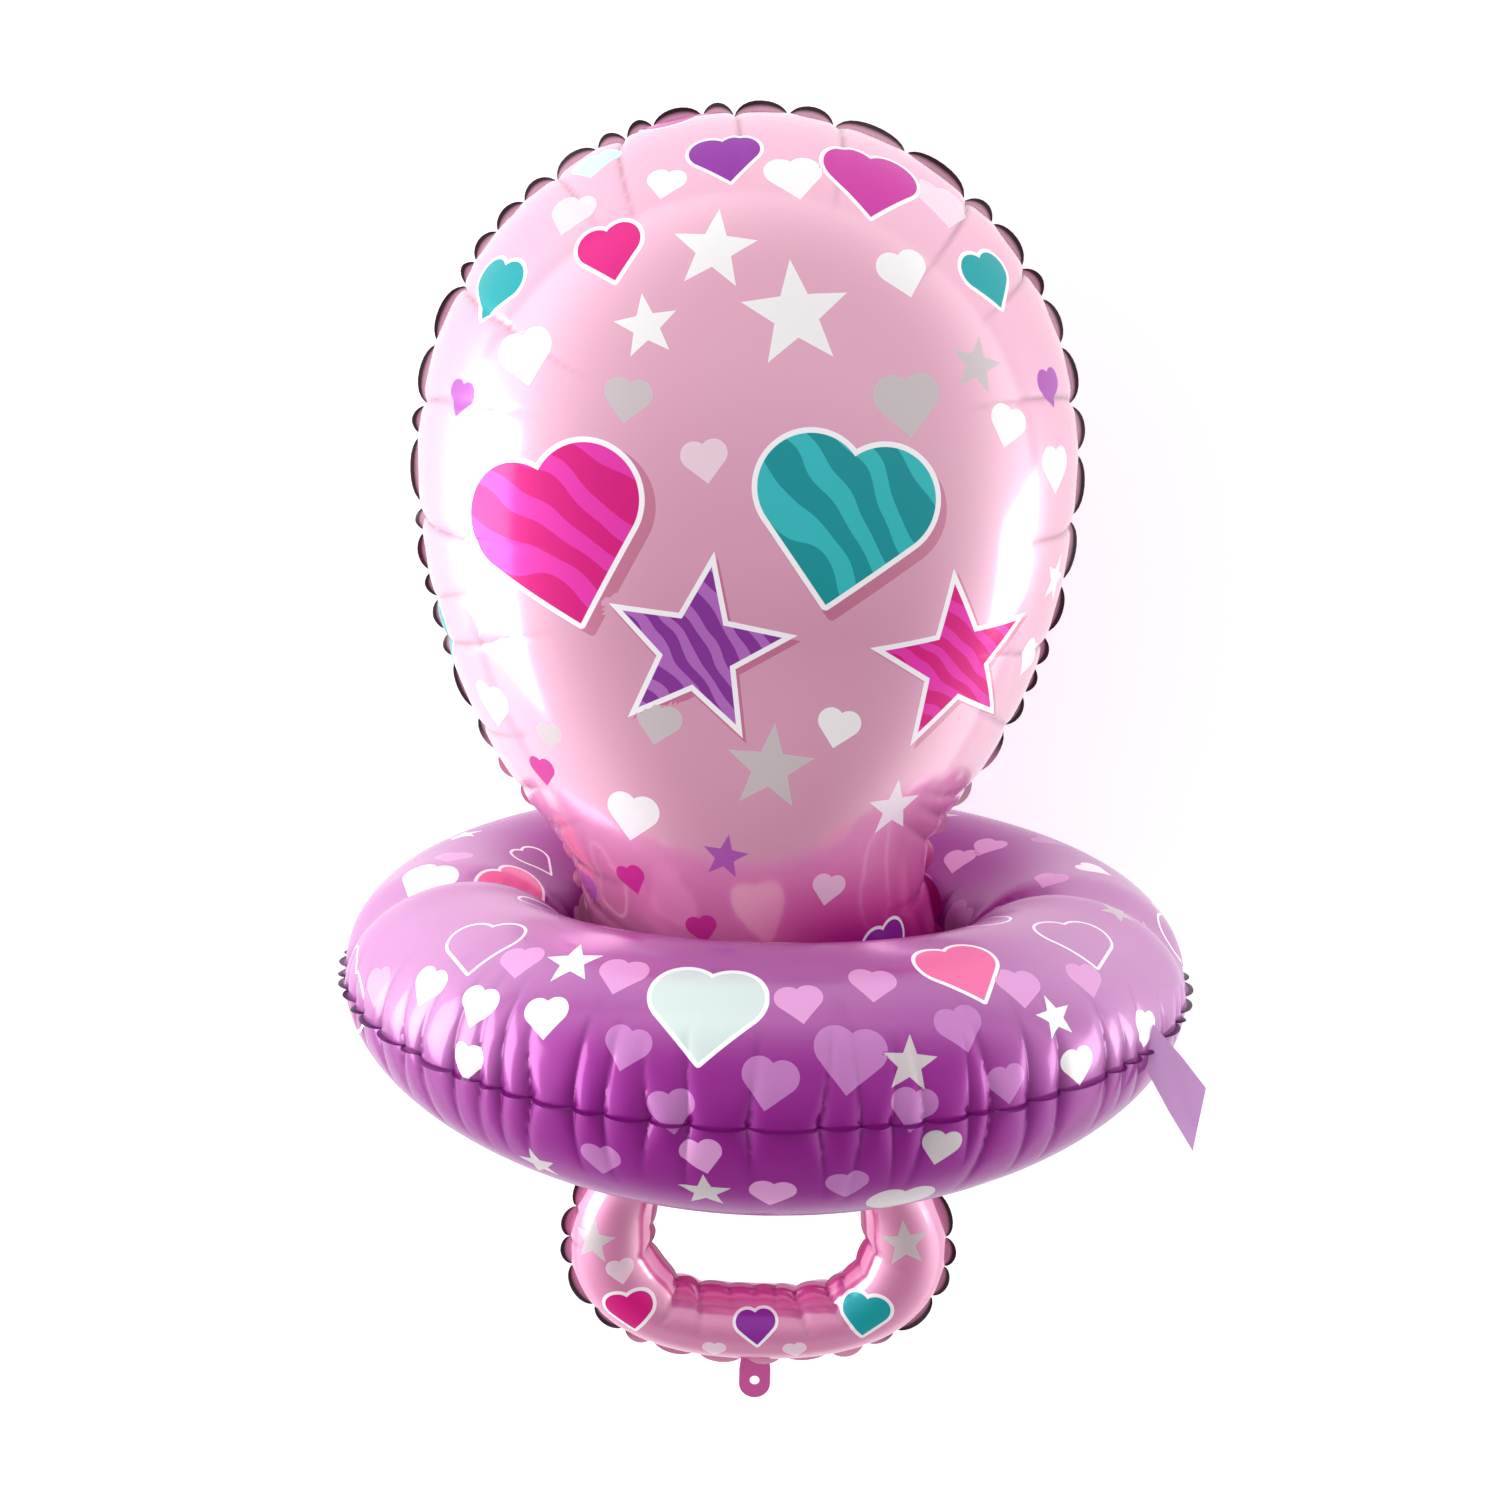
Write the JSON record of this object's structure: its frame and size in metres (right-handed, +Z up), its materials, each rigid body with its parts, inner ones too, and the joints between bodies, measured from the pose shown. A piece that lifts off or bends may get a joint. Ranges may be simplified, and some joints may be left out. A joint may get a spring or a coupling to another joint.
{
  "type": "pacifier foil balloon",
  "caption": "Inflated foil balloon in the shape of a baby's dummy: a pink head, neck and D-shaped handle with a purple ring balloon round the neck, lying on its back.",
  "frame": {"origin": "middle of the bounding box at the surface that the balloon lies on", "axes": "+Z up; +Y from the handle end to the head end; the printed front faces up"},
  "size_m": [0.5368, 0.7844, 0.5034],
  "materials": {
    "pink_foil": "glossy metallised film",
    "purple_foil": "glossy metallised film"
  },
  "bodies": {
    "root": {"pacifier_balloon": "pink_foil", "shield_ring": "purple_foil"}
  },
  "joints": []
}
